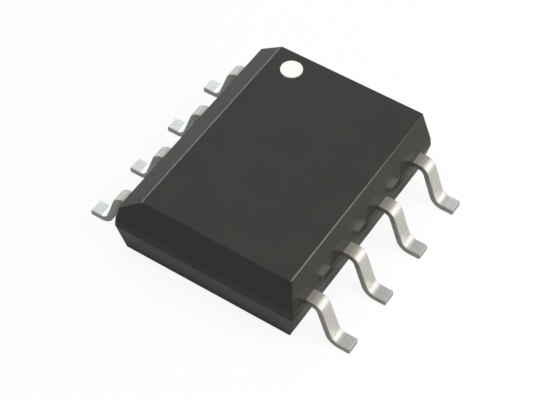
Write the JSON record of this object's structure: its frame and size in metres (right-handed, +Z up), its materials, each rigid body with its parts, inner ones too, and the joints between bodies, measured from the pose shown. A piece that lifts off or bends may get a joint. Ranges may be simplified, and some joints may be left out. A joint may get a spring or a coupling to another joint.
{
  "type": "small-outline integrated circuit",
  "caption": "Small-outline integrated circuit: a moulded black body with gull-wing leads along both long sides, one chamfered edge and a white dot by the first lead.",
  "frame": {"origin": "middle of the footprint, on the seating plane under the feet", "axes": "+X across the body from the side of leads 1 to 4, whose top edge is chamfered, to the side of leads 5 to 8; +Y along the body towards the end with leads 1 and 8 and the white dot; +Z up, from the feet to the top face"},
  "size_m": [0.0058, 0.005, 0.0018],
  "materials": {
    "moulding": "black mineral-filled epoxy, fine satin grain",
    "tin_plate": "matt tin plating on copper, bright where it is bent",
    "white_ink": "flat white ink",
    "bare_copper": "rolled copper sheet, sealed in the moulding",
    "silver_adhesive": "cured silver-filled adhesive",
    "silicon": "polished silicon with a passivated circuit face",
    "gold_wire": "drawn gold wire"
  },
  "bodies": {
    "root": {"mould_body": "moulding", "pin_1_mark": "white_ink", "die_paddle": "bare_copper", "die_attach": "silver_adhesive", "silicon_die": "silicon", "lead_1": "tin_plate", "lead_2": "tin_plate", "lead_3": "tin_plate", "lead_4": "tin_plate", "lead_5": "tin_plate", "lead_6": "tin_plate", "lead_7": "tin_plate", "lead_8": "tin_plate", "bond_wire_1": "gold_wire", "bond_wire_2": "gold_wire", "bond_wire_3": "gold_wire", "bond_wire_4": "gold_wire", "bond_wire_5": "gold_wire", "bond_wire_6": "gold_wire", "bond_wire_7": "gold_wire", "bond_wire_8": "gold_wire"}
  },
  "joints": []
}
